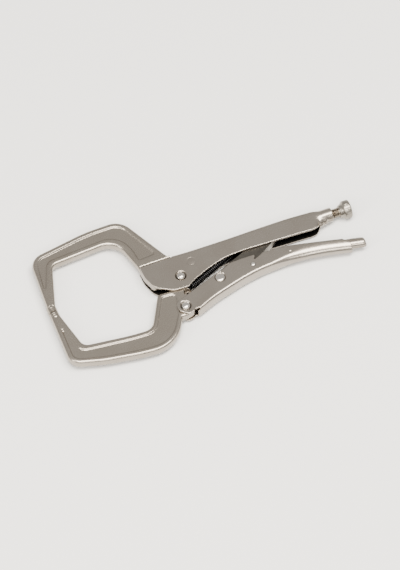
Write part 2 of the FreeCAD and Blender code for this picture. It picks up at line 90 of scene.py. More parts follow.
def metal(name, colour, tint, rough, grain_size, grain_depth, streaks=1.0):
    """Satin metal with a fine grain, soft roughness patches and a faint second tint."""
    material = bpy.data.materials.new(name)
    material.use_nodes = True
    tree = material.node_tree
    shader = tree.nodes["Principled BSDF"]
    shader.inputs["Metallic"].default_value = 1.0
    coords = tree.nodes.new("ShaderNodeTexCoord")
    stretch = tree.nodes.new("ShaderNodeMapping")
    stretch.inputs["Scale"].default_value = (1.0, streaks, 1.0)
    tree.links.new(coords.outputs["Object"], stretch.inputs["Vector"])

    def noise(size, detail):
        node = tree.nodes.new("ShaderNodeTexNoise")
        node.inputs["Scale"].default_value = 1.0 / size
        node.inputs["Detail"].default_value = detail
        tree.links.new(stretch.outputs["Vector"], node.inputs["Vector"])
        return node

    patches = noise(0.022, 3.0)
    tones = tree.nodes.new("ShaderNodeValToRGB")
    tones.color_ramp.elements[0].position = 0.35
    tones.color_ramp.elements[0].color = (*tint, 1)
    tones.color_ramp.elements[1].position = 0.62
    tones.color_ramp.elements[1].color = (*colour, 1)
    tree.links.new(patches.outputs["Fac"], tones.inputs["Fac"])
    tree.links.new(tones.outputs["Color"], shader.inputs["Base Color"])

    grain = noise(grain_size, 4.0)
    spread = tree.nodes.new("ShaderNodeMapRange")
    spread.inputs["From Min"].default_value = 0.3
    spread.inputs["From Max"].default_value = 0.7
    spread.inputs["To Min"].default_value = rough - 0.05
    spread.inputs["To Max"].default_value = rough + 0.06
    tree.links.new(grain.outputs["Fac"], spread.inputs["Value"])
    tree.links.new(spread.outputs["Result"], shader.inputs["Roughness"])

    bump = tree.nodes.new("ShaderNodeBump")
    bump.inputs["Strength"].default_value = 1.0
    bump.inputs["Distance"].default_value = grain_depth
    tree.links.new(grain.outputs["Fac"], bump.inputs["Height"])
    tree.links.new(bump.outputs["Normal"], shader.inputs["Normal"])
    return material


SHEET_METAL = metal("satin_sheet", (0.34, 0.305, 0.268), (0.315, 0.28, 0.243), 0.23, 0.0006, 0.000002)
FORGED = metal("satin_forging", (0.33, 0.295, 0.255), (0.305, 0.27, 0.23), 0.25, 0.0008, 0.000003)
# Plain, lit-looking colour, used for the toggle link's -Y web beside the painted shade of its other
# faces.
INNER_METAL = metal("satin_inner", (0.30, 0.28, 0.25), (0.25, 0.23, 0.205), 0.34, 0.0008, 0.000008)
BRIGHT = metal("bright_rivet", (0.56, 0.53, 0.49), (0.50, 0.47, 0.43), 0.15, 0.0007, 0.000002)
SCREW_METAL = metal("screw_steel", (0.27, 0.235, 0.195), (0.22, 0.19, 0.155), 0.32, 0.0006, 0.000008)
KNOB_METAL = metal("knob_steel", (0.31, 0.285, 0.25), (0.26, 0.24, 0.21), 0.30, 0.0006, 0.000005)
# Near-black painted shade. It goes on the insides of the folded channels, where shade falls, and as a
# ring round the rivet heads, where it stands for the shaded dish floor with some oil.
PAINTED_SHADE_AND_OIL = metal("painted_shade_and_oil", (0.030, 0.028, 0.026), (0.014, 0.013, 0.012), 0.42, 0.0009, 0.00001)
# Painted shade: the toggle link is plated steel, coloured near-black for the shade it sits in between
# the handles.
LINK_PAINTED_SHADE = metal("link_painted_shade", (0.095, 0.088, 0.078), (0.055, 0.05, 0.044), 0.34, 0.0009, 0.000008)
BRAZE = metal("braze_line", (0.60, 0.55, 0.47), (0.50, 0.44, 0.36), 0.22, 0.0005, 0.00001)
WIRE = metal("black_wire", (0.05, 0.05, 0.052), (0.02, 0.02, 0.022), 0.36, 0.0004, 0.000006)


# ------------------------------------------------------------------ outlines

def rounded(corners, step=0.7):
    """A closed outline as points, from (x, y, corner radius) corners."""
    points = []
    count = len(corners)
    for i, (x, y, radius) in enumerate(corners):
        here = np.array((x, y), float)
        if radius == 0:
            points.append(here)
            continue
        back = np.array(corners[i - 1][:2], float) - here
        ahead = np.array(corners[(i + 1) % count][:2], float) - here
        back /= np.linalg.norm(back)
        ahead /= np.linalg.norm(ahead)
        half = math.acos(np.clip(back @ ahead, -1, 1)) / 2
        reach = radius / math.tan(half)
        way = (back + ahead) / np.linalg.norm(back + ahead)
        centre = here + way * radius / math.sin(half)
        start = here + back * reach - centre
        turn = math.pi - 2 * half
        steps = max(2, int(math.ceil(max(turn / math.radians(7), turn * radius / step))))
        sign = 1.0 if start[1] * back[0] - start[0] * back[1] > 0 else -1.0
        for k in range(steps + 1):
            angle = sign * turn * k / steps
            c, s = math.cos(angle), math.sin(angle)
            points.append(centre + (start[0] * c - start[1] * s, start[0] * s + start[1] * c))
    return resample(np.array(points), step)


def resample(points, step, closed=True):
    """The same outline with no run longer than the step."""
    result = []
    last = len(points) if closed else len(points) - 1
    for i in range(last):
        a, b = points[i], points[(i + 1) % len(points)]
        length = np.linalg.norm(b - a)
        if length < 1e-4:
            continue
        pieces = max(1, int(math.ceil(length / step)))
        result.extend(a + (b - a) * k / pieces for k in range(pieces))
    if not closed:
        result.append(points[-1])
    return np.array(result)


def ring(centre, radius, step=0.5):
    """Points round a circle."""
    count = max(12, int(2 * math.pi * radius / step))
    angles = np.arange(count) * 2 * math.pi / count
    return np.stack((centre[0] + radius * np.cos(angles),
                     centre[1] + radius * np.sin(angles)), axis=1)


def distance(points, outline, closed=True):
    """Distance from each point to the outline."""
    starts = outline if closed else outline[:-1]
    ends = np.roll(outline, -1, axis=0) if closed else outline[1:]
    best = np.full(len(points), 1e9)
    run = ends - starts
    length2 = np.maximum((run ** 2).sum(1), 1e-12)
    for k in range(0, len(points), 2000):
        p = points[k:k + 2000, None, :]
        t = np.clip(((p - starts) * run).sum(2) / length2, 0, 1)
        gap = p - (starts + t[..., None] * run)
        best[k:k + 2000] = np.sqrt((gap ** 2).sum(2).min(1))
    return best


def inside(points, outline):
    """Whether each point lies inside the outline."""
    x, y = points[:, 0], points[:, 1]
    hit = np.zeros(len(points), bool)
    x1, y1 = outline[:, 0], outline[:, 1]
    x2, y2 = np.roll(x1, -1), np.roll(y1, -1)
    for ax, ay, bx, by in zip(x1, y1, x2, y2):
        if ay == by:
            continue
        crosses = (ay > y) != (by > y)
        hit ^= crosses & (x < (bx - ax) * (y - ay) / (by - ay) + ax)
    return hit


def inset_rings(outline, depths):
    """Points lying the given distances inside an outline."""
    area = 0.5 * np.sum(outline[:, 0] * np.roll(outline[:, 1], -1)
                        - np.roll(outline[:, 0], -1) * outline[:, 1])
    along = np.roll(outline, -1, axis=0) - np.roll(outline, 1, axis=0)
    along /= np.maximum(np.linalg.norm(along, axis=1), 1e-9)[:, None]
    normal = np.stack((-along[:, 1], along[:, 0]), axis=1) * (1 if area > 0 else -1)
    rings = []
    for depth in depths:
        moved = outline + normal * depth
        keep = inside(moved, outline) & (distance(moved, outline) > depth * 0.96)
        rings.append(moved[keep])
    return np.concatenate(rings)


def grid(outline, step_x, step_y, margin):
    """A grid of points that stays clear of the outline."""
    low, high = outline.min(0), outline.max(0)
    x, y = np.meshgrid(np.arange(low[0], high[0], step_x), np.arange(low[1], high[1], step_y))
    points = np.stack((x.ravel(), y.ravel()), axis=1)
    points[:, 0] += (np.arange(len(points)) // x.shape[1] % 2) * step_x * 0.5
    points = points[inside(points, outline)]
    return points[distance(points, outline) > margin]


def thin_out(points, gap):
    """Points with near neighbours dropped."""
    keys = np.round(points / gap).astype(int)
    _, first = np.unique(keys, axis=0, return_index=True)
    return points[np.sort(first)]


def triangulate(outline, holes, extra):
    """Triangles that fill an outline, with its holes left open."""
    loops = [outline] + list(holes)
    coords, edges = [], []
    for loop in loops:
        first = len(coords)
        coords.extend(map(tuple, loop))
        edges.extend((first + i, first + (i + 1) % len(loop)) for i in range(len(loop)))
    coords.extend(map(tuple, extra))
    made = delaunay_2d_cdt([Vector(c) for c in coords], edges, [], 1, 1e-4)
    points = np.array([tuple(v) for v in made[0]])
    triangles = np.array([f for f in made[2] if len(f) == 3])
    centres = points[triangles].mean(1)
    keep = np.ones(len(triangles), bool)
    for hole in holes:
        keep &= ~inside(centres, hole)
    return points, triangles[keep]


def smooth(value):
    """Eases from 0 to 1 with level ends."""
    value = np.clip(value, 0, 1)
    return value * value * (3 - 2 * value)


def edge_fall(depth, radius):
    """How far a rounded edge drops below its face, by distance in from the outline."""
    depth = np.clip(radius - depth, 0, radius)
    return radius - np.sqrt(np.maximum(radius ** 2 - depth ** 2, 0))


EDGE_STEPS = np.array((0.08, 0.3, 0.62, 1.0))


# ------------------------------------------------------------------ mesh pieces

def make_piece(name, points, faces, material, body, nodes=(), sharp=38):
    """A mesh from plan millimetres that moves with a body and stands for CAD nodes."""
    mesh = bpy.data.meshes.new(name)
    mesh.from_pydata([tuple(p) for p in np.asarray(points) * MM + ORIGIN], [],
                     [tuple(int(i) for i in f) for f in faces])
    mesh.validate()
    mesh.update()
    mesh.shade_smooth()
    mesh.set_sharp_from_angle(angle=math.radians(sharp))
    mesh.materials.append(material)
    piece = bpy.data.objects.new(name, mesh)
    bpy.context.scene.collection.objects.link(piece)
    if body:
        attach(piece, body)
    if nodes:
        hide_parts(*nodes)
    return piece


def joined(*shapes):
    """Several (points, faces) shapes as one."""
    points, faces, first = [], [], 0
    for some_points, some_faces in shapes:
        points.append(np.asarray(some_points, float))
        faces.extend([tuple(i + first for i in face) for face in some_faces])
        first += len(some_points)
    return np.concatenate(points), faces


def skin_pair(points, triangles, top, bottom, open_edge=None):
    """Closes two skins over the same triangles with a rim; open_edge marks no-rim points."""
    count = len(points)
    a, b, c = (points[triangles[:, i]] for i in range(3))
    turned = (b[:, 0] - a[:, 0]) * (c[:, 1] - a[:, 1]) - (b[:, 1] - a[:, 1]) * (c[:, 0] - a[:, 0])
    triangles = np.where(turned[:, None] > 0, triangles, triangles[:, ::-1])
    edges = {}
    for t in triangles:
        for i in range(3):
            edges[(t[i], t[(i + 1) % 3])] = True
    faces = [tuple(t) for t in triangles] + [tuple(t[::-1] + count) for t in triangles]
    for p, q in edges:
        if (q, p) in edges:
            continue
        if open_edge is not None and open_edge[p] and open_edge[q]:
            continue
        faces.append((q, p, p + count, q + count))
    return np.concatenate((top, bottom)), faces


def lathe(profile, segments=48, axis="Z", centre=(0, 0, 0)):
    """A turned shape from (radius, height) pairs; radius 0 closes it."""
    points, faces, rows = [], [], []
    for radius, height in profile:
        if radius == 0:
            rows.append([len(points)])
            points.append((0, 0, height))
            continue
        rows.append(list(range(len(points), len(points) + segments)))
        for k in range(segments):
            angle = 2 * math.pi * k / segments
            points.append((radius * math.cos(angle), radius * math.sin(angle), height))
    for low, high in zip(rows, rows[1:]):
        for k in range(segments):
            n = (k + 1) % segments
            if len(low) == 1:
                faces.append((low[0], high[n], high[k]))
            elif len(high) == 1:
                faces.append((low[k], low[n], high[0]))
            else:
                faces.append((low[k], low[n], high[n], high[k]))
    points = np.array(points, float)
    if axis == "X":
        points = points[:, [2, 0, 1]]
    elif axis == "Y":
        points = points[:, [1, 2, 0]]
    return points + np.array(centre, float), faces


def tube(path, radius, sides=10):
    """A round wire along a path of points."""
    path = np.asarray(path, float)
    ahead = np.gradient(path, axis=0)
    ahead /= np.linalg.norm(ahead, axis=1)[:, None]
    side = np.cross(ahead[0], (0, 0, 1))
    if np.linalg.norm(side) < 0.1:
        side = np.cross(ahead[0], (0, 1, 0))
    points, faces = [], []
    for i, (p, t) in enumerate(zip(path, ahead)):
        side = side - t * (side @ t)
        side /= np.linalg.norm(side)
        up = np.cross(t, side)
        for k in range(sides):
            angle = 2 * math.pi * k / sides
            points.append(p + radius * (math.cos(angle) * side + math.sin(angle) * up))
        if i:
            for k in range(sides):
                n = (k + 1) % sides
                a, b = (i - 1) * sides, i * sides
                faces.append((a + k, b + k, b + n, a + n))
    last = len(points)
    points += [path[0], path[-1]]
    for k in range(sides):
        n = (k + 1) % sides
        faces.append((last, k, n))
        faces.append((last + 1, last - sides + n, last - sides + k))
    return np.array(points), faces


# ------------------------------------------------------------------ forged jaws

def forging(corners, panel_corners, edge_radius, spots=(), holes=(), half=JAW_HALF):
    """A forged plate: rounded edges, raised rims and a sunk panel on both faces."""
    outline = rounded(corners)
    panel = rounded(panel_corners)
    fall = 1.5
    extra = [inset_rings(outline, EDGE_STEPS * edge_radius),
             panel,
             inset_rings(panel, np.array((0.15, 0.4, 0.75, 1.1, 1.35)) / 1.5 * fall),
             inset_rings(panel, (fall, fall + 0.6)),
             grid(outline, 3.0, 3.0, edge_radius + 0.6)]
    for centre, radius, depth in spots:
        for part in (1.0, 0.92, 0.8, 0.65, 0.5):
            extra.append(ring(centre, radius * part))
    extra = np.concatenate(extra)
    extra = thin_out(extra[inside(extra, outline)], 0.12)
    hole_loops = [ring(centre, radius, 0.4) for centre, radius in holes]
    for centre, radius in holes:
        extra = extra[np.hypot(*(extra - centre).T) > radius + 0.15]
    points, triangles = triangulate(outline, hole_loops, extra)
    drop = edge_fall(distance(points, outline), edge_radius)
    sunk = np.where(inside(points, panel), distance(points, panel), 0)
    drop = np.maximum(drop, PANEL_DEPTH * smooth(sunk / fall))
    for centre, radius, depth in spots:
        away = np.hypot(*(points - centre).T)
        drop = np.maximum(drop, depth * smooth((radius - away) / 1.3))
    top = np.column_stack((points, half - drop))
    bottom = np.column_stack((points, drop - half))
    return skin_pair(points, triangles, top, bottom)


def clamp_pad(y_face, y_back, x=-114.9):
    """Round clamping pad with turned grooves behind its face."""
    way = 1.0 if y_back > y_face else -1.0
    profile = [(0, 0), (3.5, 0), (4.0, 0.12), (4.35, 0.5), (4.35, 1.6), (4.1, 1.9), (4.1, 2.2),
               (4.4, 2.5), (4.4, 3.2), (4.15, 3.5), (4.15, 3.8), (4.4, 4.1), (4.4, 5.0),
               (4.3, 5.8), (3.9, 6.5), (3.3, abs(y_back - y_face)), (0, abs(y_back - y_face))]
    points, faces = lathe(profile, 40, "Y")
    points[:, 1] *= way
    if way < 0:
        faces = [f[::-1] for f in faces]
    return points + np.array((x, y_face, 0)), faces


def make_upper_jaw():
    """Fixed jaw and its clamping pad."""
    outline = [
        (-0.9, 18.0, 0), (-0.9, 22.8, 0), (-4.2, 28.2, 12), (-27.2, 74.9, 18),
        (-60, 74.0, 150), (-114.4, 64.6, 14), (-118.7, 10.4, 0.6), (-111.4, 10.4, 0.6),
        (-98.4, 51.2, 7), (-38.6, 55.9, 17), (-30.7, 24.4, 0), (-29.4, 10, 14),
        (-25.6, -1.4, 4), (-15.5, -3.2, 2), (-9, 3, 0), (9, 6.6, 0), (19.5, 8.4, 2),
        (19.5, 18.0, 0),
    ]
    panel = [
        (-27.9, 28.6, 2.5), (-10.4, 30.2, 2.8), (-29.4, 70.9, 14), (-60, 70.3, 150),
        (-110.4, 61.4, 10), (-114.9, 31.5, 1.2), (-111.8, 30, 1.0), (-101.2, 55.6, 9),
        (-36.9, 60.2, 18), (-29.4, 42, 30),
    ]
    body = forging(outline, panel, RIM_RADIUS)
    pad = clamp_pad(6.15, 13.6)
    points, faces = joined(body, pad)
    make_piece("upper_jaw_forging", points, faces, FORGED, "fixed_half",
               ("upper_jaw",))


def make_lower_jaw():
    """Moving jaw: forging, round head, clamping pad and a small nub near the tip."""
    outline = [
        (-5, -3, 0), (-11.5, -9.3, 4), (-25.2, -9.5, 5), (-42.2, -41.2, 11),
        (-62, -40.7, 200), (-103.4, -36.1, 7), (-111.2, 1.6, 0.6), (-119.0, 1.6, 0.6),
        (-120.9, -50.5, 12), (-92, -58.5, 120), (-60, -63.3, 120), (-28.0, -65.3, 33),
        (-13.4, -39.4, 0), (-8.0, -39.3, 0), (-0.5, -36.6, 4), (1.2, -28.5, 6),
        (4.4, -17.5, 6), (2.2, -10.2, 3), (5.0, -6.2, 0),
    ]
    panel = [
        (-9.0, -13.2, 5), (-23.4, -12.9, 4), (-40.4, -45.2, 14), (-62, -44.8, 200),
        (-106.6, -40.4, 7), (-113.9, -14, 1.0), (-116.2, -14, 1.0), (-117.2, -47.6, 8),
        (-92, -54.6, 120), (-60, -59.4, 120), (-30.2, -61.2, 29), (-15.2, -36.0, 3),
    ]
    hook = np.array(HOOK_HOLE)
    body = forging(outline, panel, RIM_RADIUS, spots=[(hook, 3.7, 2.7)], holes=[(hook, 1.3)])
    head = lathe([(0, -4.1), (8.2, -4.1), (8.6, -3.7), (8.6, 3.7), (8.2, 4.1), (0, 4.1)])
    pad = clamp_pad(5.85, -1.6)
    nub = lathe([(0, 3.0), (1.15, 3.3), (0.95, 3.75), (0.5, 3.98), (0, 4.05)], 16,
                centre=(-114.6, -15.8, 0))
    points, faces = joined(body, head, pad, nub)
    make_piece("lower_jaw_forging", points, faces, FORGED, "moving_jaw",
               ("lower_jaw",))


# ------------------------------------------------------------------ folded sheet

DISH_RINGS = (5.5, 5.25, 5.0, 4.75, 4.5, 4.2, 3.8)


def dish(points, centre, radius, depth):
    """Depth of a pressed round dish."""
    away = np.hypot(*(points - centre).T)
    return depth * smooth((radius - away) / 1.0)


class Channel:
    """A sheet folded about a curved spine: plan x against distance round the fold."""

    def __init__(self, spine, side, bend, width=HALF_WIDTH, rolled_over=(1e6, 2e6),
                 roll=(TUBE_RADIUS, TUBE_RADIUS)):
        self.spine = np.array(spine, float)
        self.side = side
        self.bend = np.array(bend, float)
        self.width = width
        self.rolled_over = rolled_over
        self.roll = roll

    def spine_y(self, x):
        """The spine's outer edge, as a smooth curve through its points."""
        from_x, from_y = self.spine.T
        slopes = np.gradient(from_y, from_x)
        i = np.clip(np.searchsorted(from_x, x) - 1, 0, len(from_x) - 2)
        span = from_x[i + 1] - from_x[i]
        t = (x - from_x[i]) / span
        h00 = 2 * t ** 3 - 3 * t ** 2 + 1
        h10 = t ** 3 - 2 * t ** 2 + t
        h01 = -2 * t ** 3 + 3 * t ** 2
        h11 = t ** 3 - t ** 2
        return (h00 * from_y[i] + h10 * span * slopes[i]
                + h01 * from_y[i + 1] + h11 * span * slopes[i + 1])

    def radii(self, x):
        """The bend's reach along Y and along Z, and its length round the fold."""
        tall = np.interp(x, self.bend[:, 0], self.bend[:, 1])
        wide = np.minimum(tall, self.width - 0.3)
        return tall, wide, math.pi / 2 * np.sqrt((tall ** 2 + wide ** 2) / 2)

    def middle(self, x):
        """Distance round the fold from the wall's end to the spine's middle."""
        _, wide, length = self.radii(x)
        return length + self.width - wide

    def to_pattern(self, points):
        """Where plan points on the wall lie on the flat pattern."""
        x, y = points.T
        start = self.spine_y(x) - self.side * self.radii(x)[0]
        return np.stack((x, self.side * (y - start)), axis=1)

    def fold(self, pattern, depth):
        """Where a pattern point goes, at some depth below the outer face."""
        x, q = pattern.T
        tall, wide, length = self.radii(x)
        start = self.spine_y(x) - self.side * tall
        angle = np.clip(q / length, 0, 1) * math.pi / 2
        over = np.maximum(q - length, 0)
        wall_y = start + self.side * (np.minimum(q, 0) + (tall - depth) * np.sin(angle))
        wall_z = self.width - wide + (wide - depth) * np.cos(angle) - over
        bent = np.stack((x, wall_y, wall_z), axis=1)
        tall, wide = self.roll
        round_angle = (self.middle(x) - q) * 2 / (tall + wide)
        centre = self.spine_y(x) - tall
        rolled = np.stack((x, centre + (tall - depth) * np.cos(round_angle),
                           (wide - depth) * np.sin(round_angle)), axis=1)
        first, last = self.rolled_over
        share = smooth((x - first) / (last - first))[:, None]
        return bent * (1 - share) + rolled * share


def folded_shell(channel, pattern, relief, marks=(), holes=(), edge=0.6, sheet=SHEET,
                 step=(1.6, 0.75)):
    """Both halves of a folded sheet, from the outline of one half of its pattern."""
    middle = channel.middle(pattern[:, 0])
    on_middle = np.abs(pattern[:, 1] - middle) < 1e-3
    rim = [pattern[i:i + 2] for i in range(len(pattern) - 1)
           if not (on_middle[i] and on_middle[i + 1])]
    loops = [ring(channel.to_pattern(np.array([centre]))[0], radius, 0.35)
             for centre, radius in holes]
    for loop in loops:
        rim += list(zip(loop, np.roll(loop, -1, axis=0)))
    edge_rings = edge * EDGE_STEPS
    extra = [inset_rings(pattern, edge_rings), grid(pattern, *step, edge + 0.35)]
    for centre, radii in marks:
        where = channel.to_pattern(centre[None, :])[0]
        extra[1] = extra[1][np.hypot(*(extra[1] - where).T) > max(radii) + 0.3]
        extra += [ring(where, r, 0.4) for r in radii]
    extra = np.concatenate(extra)
    extra = thin_out(extra[inside(extra, pattern)], 0.1)
    for (centre, radius), loop in zip(holes, loops):
        middle_point = loop.mean(0)
        extra = extra[np.hypot(*(extra - middle_point).T) > radius + 0.1]
        rounds = [ring(middle_point, radius + depth, 0.35) for depth in edge_rings]
        extra = np.concatenate([extra] + rounds)
        extra = extra[inside(extra, pattern)]
    points, triangles = triangulate(pattern, loops, extra)
    starts = np.array([r[0] for r in rim])
    ends = np.array([r[1] for r in rim])
    run = ends - starts
    length2 = np.maximum((run ** 2).sum(1), 1e-12)
    away = np.empty(len(points))
    for k in range(0, len(points), 2000):
        p = points[k:k + 2000, None, :]
        t = np.clip(((p - starts) * run).sum(2) / length2, 0, 1)
        away[k:k + 2000] = np.sqrt(((p - starts - t[..., None] * run) ** 2).sum(2).min(1))
    plan = channel.fold(points, np.zeros(len(points)))[:, :2]
    outer = channel.fold(points, edge_fall(away, edge) + relief(points, plan))
    inner = channel.fold(points, sheet - edge_fall(away, edge * 0.5))
    shape_points, faces = skin_pair(
        points, triangles, outer, inner,
        np.abs(points[:, 1] - channel.middle(points[:, 0])) < 2e-2)
    if channel.side < 0:
        faces = [f[::-1] for f in faces]
    mirrored = shape_points * (1, 1, -1)
    inner_skin = [len(triangles) <= i < 2 * len(triangles) for i in range(len(faces))] * 2
    points, faces = joined((shape_points, faces), (mirrored, [f[::-1] for f in faces]))
    return points, faces, inner_skin


def make_channel(name, shell, body, node, painted_shade_from=-1e6):
    """A folded sheet with its plated outside, and its inside skin past some X painted near-black as
    painted shade.
    """
    points, faces, inner_skin = shell
    piece = make_piece(name, points, faces, SHEET_METAL, body, (node,))
    piece.data.materials.append(PAINTED_SHADE_AND_OIL)
    # Inner-skin faces past the given X get the painted shade.
    for polygon, hidden in zip(piece.data.polygons, inner_skin):
        along = polygon.center.x / MM - ORIGIN[0] / MM
        polygon.material_index = int(hidden and along > painted_shade_from)
    sew = bpy.data.objects[name].modifiers.new("sew", "WELD")
    sew.merge_threshold = 0.00003
    return piece


def make_upper_handle():
    """Folded channel whose rear end is rolled into a tube for the screw."""
    channel = Channel(
        spine=[(-40, 22.0), (0, 22.3), (30, 22.4), (50, 22.6), (83, 23.5), (112, 23.7),
               (126, 23.1), (150, 23.2)],
        side=1, bend=[(-40, 1.9), (1, 1.9), (14, 2.8), (150, 2.8)],
        rolled_over=(127, 137))
    low = [
        (-0.3, 21.5, 0), (-30.0, 20.7, 0.8), (-29.8, 9.0, 25), (-25.0, -4.6, 15),
        (-10, -12.6, 16), (2.6, -12.8, 6), (10, -8.0, 40), (24, -1.7, 60), (42, 4.3, 60),
        (62, 5.5, 90), (90, 4.9, 200), (119, 4.3, 0), (119, 21.5, 0),
    ]
    walls = rounded(low)
    walls = walls[walls[:, 0] < 118.9]
    first = np.argmin(np.hypot(*(walls - (-0.3, 21.5)).T))
    walls = np.roll(walls, -first, axis=0)
    wall_part = channel.to_pattern(walls)
    keep = np.ones(len(walls), bool)
    keep[1:] = ~((walls[1:, 0] > 0.2) & (walls[1:, 1] > 21))
    wall_part = wall_part[keep]
    closed_q = channel.middle(np.array([140.0]))[0] - math.pi * TUBE_RADIUS + 0.12
    tube_part = resample(np.array([
        (119.0, -16.3), (121.5, -16.4), (125, -15.9), (130, -14.6), (134, -12.6), (137, closed_q),
        (TUBE_END, closed_q)]), 0.7, closed=False)
    middle_x = np.arange(TUBE_END, -0.31, -0.7)
    middle_x = np.append(middle_x, -0.3)
    middle_part = np.stack((middle_x, channel.middle(middle_x)), axis=1)
    end_part = resample(np.array([(TUBE_END, closed_q), tuple(middle_part[0])]), 0.6, closed=False)
    front_part = resample(np.array([tuple(middle_part[-1]), tuple(wall_part[0])]), 0.5,
                          closed=False)
    pattern = np.concatenate((wall_part, tube_part[:-1], end_part[:-1], middle_part[:-1],
                              front_part[:-1]))

    def relief(points, plan):
        on_wall = points[:, 1] < 0
        press = dish(plan, JAW_PIVOT, 5.3, 1.0) * on_wall
        pin = np.hypot(*(plan - FIXING_PIN).T)
        press += 0.12 * np.exp(-((pin - 3.8) / 0.22) ** 2) * on_wall
        lap = smooth((points[:, 0] - 131.5) / 2.5) * smooth((140.5 - points[:, 0]) / 2.5)
        low_side = smooth((-6.0 - points[:, 1]) / 3.5)
        return press - 1.15 * lap * low_side

    marks = [(JAW_PIVOT, DISH_RINGS),
             (FIXING_PIN, (4.2, 4.0, 3.8, 3.6, 3.4))]
    make_channel("upper_handle_sheet", folded_shell(channel, pattern, relief, marks),
                 "fixed_half", "upper_handle")


def make_lower_handle():
    """Folded channel with round ears, a notch behind them and a rounder rear."""
    channel = Channel(
        spine=[(-20, -48), (4.6, -38.1), (20, -31.7), (35, -26.9), (52, -22.1), (72, -18.5),
               (86, -17.8), (103, -18.3), (122, -20.4), (144, -25.0), (160, -29)],
        side=-1, bend=[(0, 2.2), (20, 2.8), (78, 3.0), (97, 7.0), (108, 9.6), (170, 9.6)])
    corners = [
        (1.2, -36.9, 0), (-0.9, -36.9, 1.2), (-2.4, -38.6, 0.8),
        (-7.2, -39.9, 3.2), (-15.9, -33.4, 7.6), (-13.6, -24.0, 7.6), (-5.2, -21.6, 5),
        (29, -8.7, 40), (36, -6.8, 20), (43.6, -2.9, 4), (54, -2.2, 60), (67.5, -2.1, 1.0),
        (64.6, -7.2, 0.5), (74.5, -2.7, 6), (86, -2.7, 60), (100, -4.2, 90), (120, -8.6, 300),
        (143.0, -13.9, 1.5), (148.8, -19.4, 3.5), (148.6, -24.0, 0),
    ]
    walls = rounded(corners)
    start = np.argmin(np.hypot(*(walls - (1.2, -36.9)).T))
    walls = np.roll(walls, -start, axis=0)
    end = np.argmin(np.hypot(*(walls - (148.6, -24.0)).T))
    wall_part = channel.to_pattern(walls[:end + 1])
    middle_x = np.append(np.arange(148.0, 1.2, -0.7), 1.2)
    middle_part = np.stack((middle_x, channel.middle(middle_x)), axis=1)
    end_part = resample(np.array([tuple(wall_part[-1]), (148.5, channel.middle(
        np.array([148.5]))[0] * 0.8), tuple(middle_part[0])]), 0.5, closed=False)
    notch = channel.to_pattern(np.array([(1.2, -39.0)]))[0]
    turns = np.radians(np.arange(90, -91, -10))
    arc = notch + 2.1 * np.stack((np.cos(turns), np.sin(turns)), axis=1)
    front_part = resample(np.concatenate(([middle_part[-1]], arc[:-1], [wall_part[0]])), 0.5,
                          closed=False)
    pattern = np.concatenate((wall_part[:-1], end_part[:-1], middle_part[:-1],
                              front_part[:-1]))

    def relief(points, plan):
        on_wall = points[:, 1] < 0.6
        press = dish(plan, HANDLE_PIVOT, 5.3, 1.0) + dish(plan, LINK_PIVOT, 5.3, 1.0)
        dimple = np.hypot(plan[:, 0] - 97.0, plan[:, 1] + 10.6)
        return (press + 0.45 * smooth((1.3 - dimple) / 0.8)) * on_wall

    marks = [(pivot, DISH_RINGS) for pivot in (HANDLE_PIVOT, LINK_PIVOT)]
    marks += [(np.array((97.0, -10.6)), (1.3, 1.0, 0.7, 0.4))]
    shell = folded_shell(channel, pattern, relief, marks)
    make_channel("lower_handle_sheet", shell, "moving_handle", "lower_handle", painted_shade_from=6.0)


def make_release_lever():
    """Folded lever, open below, with its tail rolled into a tube."""
    channel = Channel(
        spine=[(58, -13.5), (69, -7.9), (73, -6.5), (78, -5.3), (86, -4.8), (100, -5.9),
               (121, -9.9), (146, -12.5), (170, -17.2)],
        side=1, bend=[(58, 2.0), (118, 2.0), (142, 4.6), (170, 4.6)], width=LEVER_HALF,
        rolled_over=(132, 146), roll=(LEVER_TAIL_TALL, LEVER_HALF))
    end = 161.8
    walls = rounded([
        (69.0, -9.9, 0), (66.0, -10.0, 1.5), (62.6, -9.0, 2), (59.4, -10.6, 1),
        (58.4, -12.4, 1.2), (60.5, -16.0, 3), (66.5, -14.6, 3), (75, -11.6, 20),
        (103, -12.4, 80), (128, -16.2, 0), (128, -12.0, 0),
    ])
    start = np.argmin(np.hypot(*(walls - (69.0, -9.9)).T))
    walls = np.roll(walls, -start, axis=0)
    stop = np.argmin(np.hypot(*(walls - (128, -16.2)).T))
    wall_part = channel.to_pattern(walls[:stop + 1])
    half_round = math.pi * (LEVER_TAIL_TALL + LEVER_HALF) / 2
    closed_q = channel.middle(np.array([150.0]))[0] - half_round + 0.3
    tail_part = resample(np.array([tuple(wall_part[-1]), (136, closed_q * 0.85),
                                   (143, closed_q), (end, closed_q)]), 0.6, closed=False)
    middle_x = np.append(np.arange(end, 69.0, -0.7), 69.0)
    middle_part = np.stack((middle_x, channel.middle(middle_x)), axis=1)
    end_part = resample(np.array([(end, closed_q), tuple(middle_part[0])]), 0.5, closed=False)
    front_part = resample(np.array([tuple(middle_part[-1]), tuple(wall_part[0])]), 0.5,
                          closed=False)
    pattern = np.concatenate((wall_part[:-1], tail_part[:-1], end_part[:-1],
                              middle_part[:-1], front_part[:-1]))

    def relief(points, plan):
        lip = np.clip((points[:, 0] - end + 2.4) / 2.4, 0, 1)
        return 1.25 * (1 - np.sqrt(1 - 0.98 * lip ** 2))

    shell = folded_shell(channel, pattern, relief,
                         holes=[(tuple(LEVER_PIVOT), 1.6)], sheet=1.4, step=(1.4, 0.7))
    make_channel("release_lever_sheet", shell, "lever", "release_lever")


# ------------------------------------------------------------------ rivets, screw, spring

